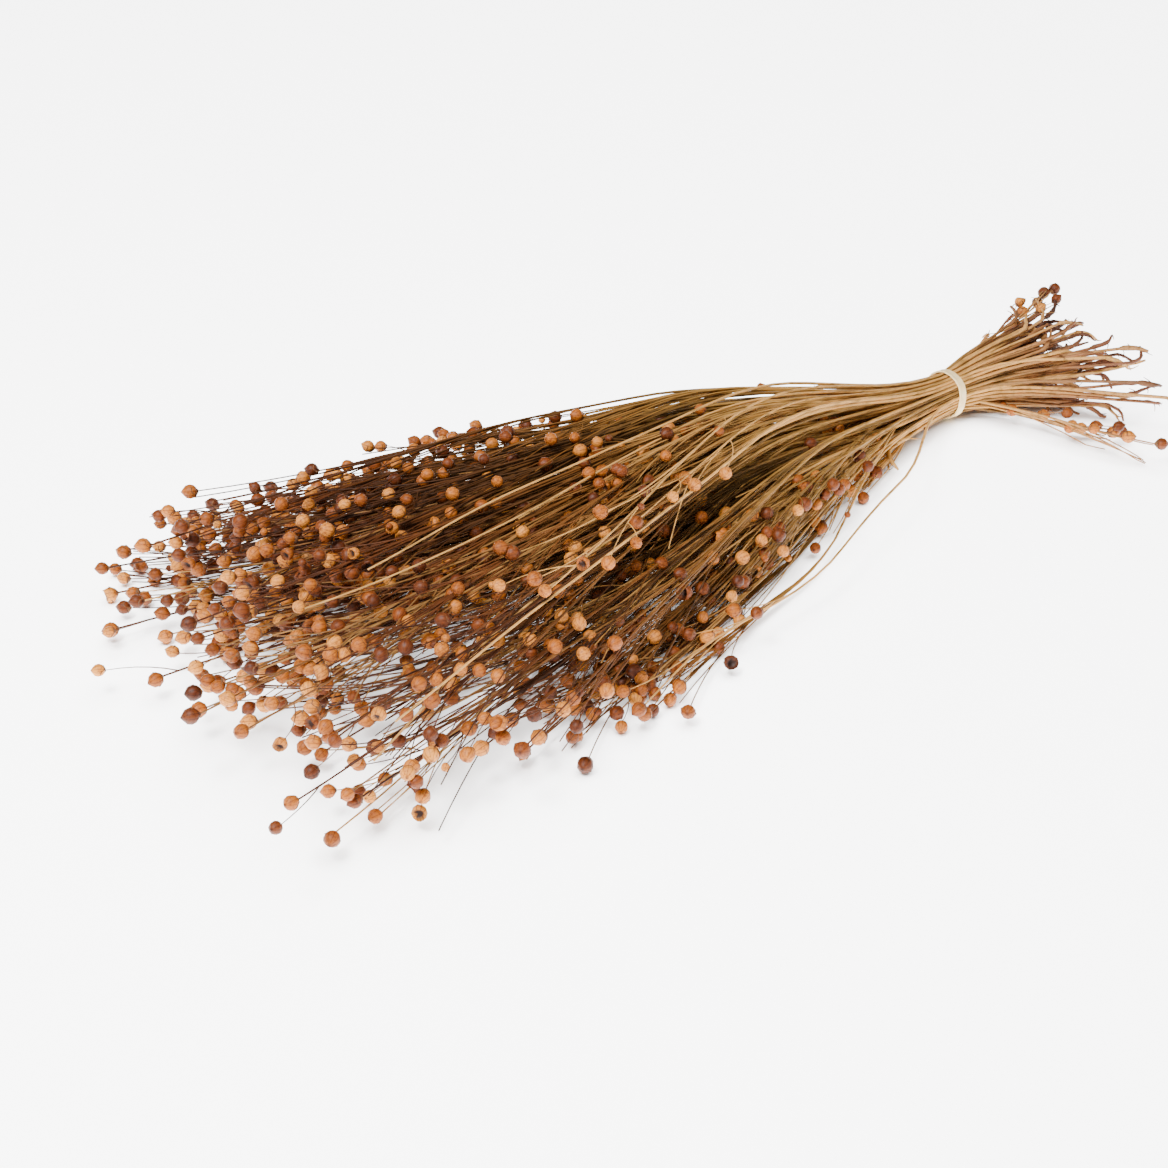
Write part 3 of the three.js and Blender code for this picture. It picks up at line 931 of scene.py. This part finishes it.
class FLAX_OT_stage(bpy.types.Operator):
    """Set the table, the soft lights and the camera"""
    bl_idname = "flax.stage"
    bl_label = "Stage"

    def execute(self, context):
        stage = context.scene.flax_stage
        bpy.ops.object.select_all(action="DESELECT")
        bpy.ops.mesh.primitive_plane_add(size=60.0)
        floor = context.object
        floor.name = "table"
        floor.data.materials.append(card_material(stage.floor_colour))
        target = Vector((-0.0771, -0.0158, 0.0))
        self.light("key_light", target, azimuth=-75, elevation=62, distance=1.5, size=0.45, power=49)
        self.light("fill_light", target, azimuth=20, elevation=40, distance=1.8, size=1.4, power=7)
        bpy.ops.object.light_add(type="SUN", location=(0, 0, 3))
        table_light = context.object
        table_light.name = "table_light"
        table_light.data.angle = math.radians(75)
        table_light.data.energy = 20.0
        lit = bpy.data.collections.new("lit_by_table_light")
        lit.objects.link(floor)
        table_light.light_linking.receiver_collection = lit
        world = bpy.data.worlds.new("studio")
        world.use_nodes = True
        background = world.node_tree.nodes["Background"]
        background.inputs["Color"].default_value = (1.0, 1.0, 1.0, 1.0)
        # Bright where it is seen behind the table, dim where it lights the bundle.
        seen = add(world.node_tree, "LightPath").outputs["Is Camera Ray"]
        strength = add(world.node_tree, "MapRange", {"Value": seen, "To Min": 0.26, "To Max": 4.5})
        world.node_tree.links.new(strength.outputs["Result"], background.inputs["Strength"])
        context.scene.world = world
        back = self.outward(stage.azimuth, stage.elevation)
        bpy.ops.object.camera_add(location=target + back * stage.distance)
        camera = context.object
        camera.name = "photographer"
        camera.rotation_euler = back.to_track_quat("Z", "Y").to_euler()
        camera.data.lens = stage.lens
        camera.data.clip_start = 0.01
        context.scene.camera = camera
        return {"FINISHED"}

    def outward(self, azimuth, elevation):
        flat = math.cos(elevation)
        return Vector((math.sin(azimuth) * flat, -math.cos(azimuth) * flat, math.sin(elevation)))

    def light(self, name, target, azimuth, elevation, distance, size, power):
        back = self.outward(math.radians(azimuth), math.radians(elevation))
        bpy.ops.object.light_add(type="AREA", location=target + back * distance)
        lamp = bpy.context.object
        lamp.name = name
        lamp.rotation_euler = back.to_track_quat("Z", "Y").to_euler()
        lamp.data.shape = "DISK"
        lamp.data.size = size
        lamp.data.energy = power


class FLAX_PT_bundle(bpy.types.Panel):
    """Lists the sizes and the steps"""
    bl_label = "Dried flax"
    bl_idname = "FLAX_PT_bundle"
    bl_space_type = "VIEW_3D"
    bl_region_type = "UI"
    bl_category = "Flax"

    def draw(self, context):
        for group in ("flax_sizes", "flax_look", "flax_stage"):
            settings = getattr(context.scene, group)
            box = self.layout.box()
            for name in settings.__annotations__:
                box.prop(settings, name)
        for step in STEPS:
            self.layout.operator(step.bl_idname)


STEPS = (FLAX_OT_boll_patterns, FLAX_OT_solid_stalks, FLAX_OT_fill_stalks, FLAX_OT_band,
         FLAX_OT_clear_patterns, FLAX_OT_stage)
GROUPS = {"flax_sizes": FlaxSizes, "flax_look": FlaxLook, "flax_stage": FlaxStage}


def register():
    for group in GROUPS.values():
        bpy.utils.register_class(group)
    for shown in (*STEPS, FLAX_PT_bundle):
        bpy.utils.register_class(shown)
    for name, group in GROUPS.items():
        setattr(bpy.types.Scene, name, PointerProperty(type=group))


def unregister():
    for name in GROUPS:
        delattr(bpy.types.Scene, name)
    for shown in (FLAX_PT_bundle, *reversed(STEPS), *reversed(GROUPS.values())):
        bpy.utils.unregister_class(shown)


def main():
    register()
    bpy.ops.flax.boll_patterns()
    bpy.ops.flax.solid_stalks()
    bpy.ops.flax.fill_stalks()
    bpy.ops.flax.band()
    bpy.ops.flax.clear_patterns()
    bpy.ops.flax.stage()


if __name__ == "__main__":
    main()
